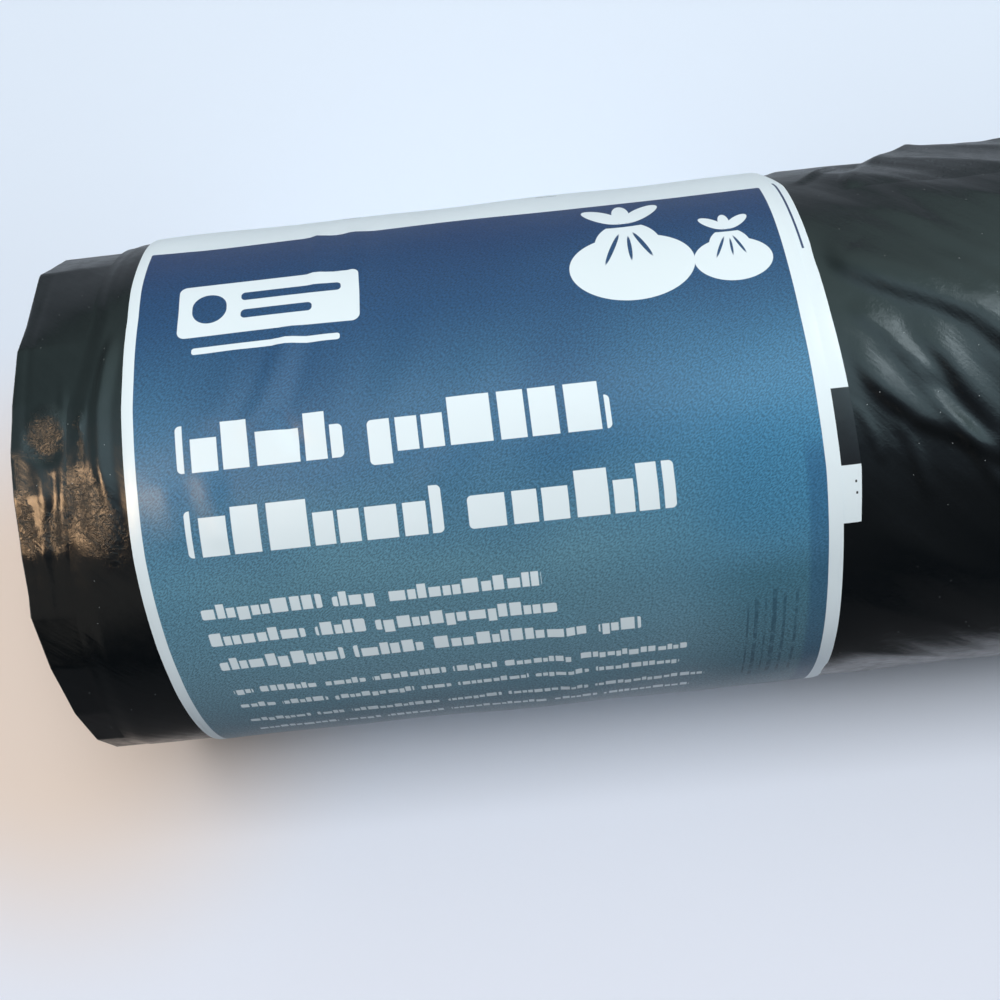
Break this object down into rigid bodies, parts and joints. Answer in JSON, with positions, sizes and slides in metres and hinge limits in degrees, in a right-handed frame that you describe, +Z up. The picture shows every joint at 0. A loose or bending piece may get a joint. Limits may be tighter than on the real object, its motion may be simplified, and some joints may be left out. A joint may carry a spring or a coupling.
{
  "type": "bin bag roll",
  "caption": "Coreless roll of glossy black bin bags lying on its soft flat spot, held by a wrapped printed paper band near one end.",
  "frame": {"origin": "middle of the roll's length, on the floor, below its axis", "axes": "+X along the roll's axis from the banded end to the free end, +Z up, -Y towards the viewer of the printed front"},
  "size_m": [0.165, 0.0621, 0.0616],
  "materials": {
    "black_film": "glossy crinkled film",
    "printed_paper": "coated paper, semi-gloss"
  },
  "bodies": {
    "root": {"film_roll": "black_film", "label_band": "printed_paper"}
  },
  "joints": []
}
